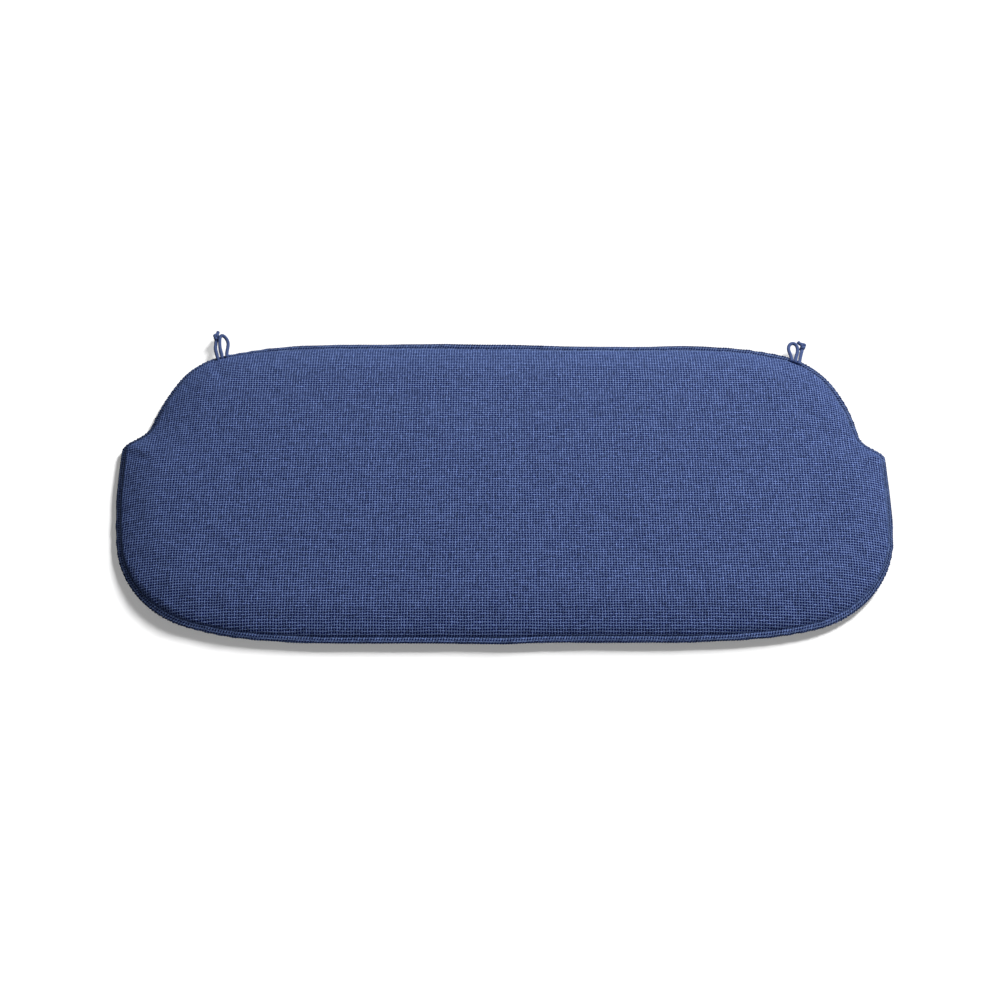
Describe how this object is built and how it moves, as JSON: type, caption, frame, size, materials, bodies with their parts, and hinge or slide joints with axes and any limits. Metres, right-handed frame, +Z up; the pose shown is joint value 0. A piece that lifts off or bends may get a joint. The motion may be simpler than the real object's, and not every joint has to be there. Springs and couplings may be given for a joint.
{
  "type": "sofa seat cushion",
  "caption": "Thin filled seat cushion with a rounded back, a notch at each side, a flat seam lip all round and two cord tie sets at the back.",
  "frame": {"origin": "on the surface the cushion rests on, under the centre of the cushion's own box without its ties", "axes": "+X along the cushion from its left end to its right end, +Y towards its back, +Z up"},
  "size_m": [1.1924, 0.5656, 0.034],
  "materials": {
    "cover_cloth": "matte coarse plain weave",
    "tie_cord": "smooth fine braid"
  },
  "bodies": {
    "root": {"cushion_pad": "cover_cloth", "edge_lip": "cover_cloth", "left_loop": "tie_cord", "left_tie": "tie_cord", "left_knot": "tie_cord", "right_loop": "tie_cord", "right_tie": "tie_cord", "right_knot": "tie_cord"}
  },
  "joints": []
}
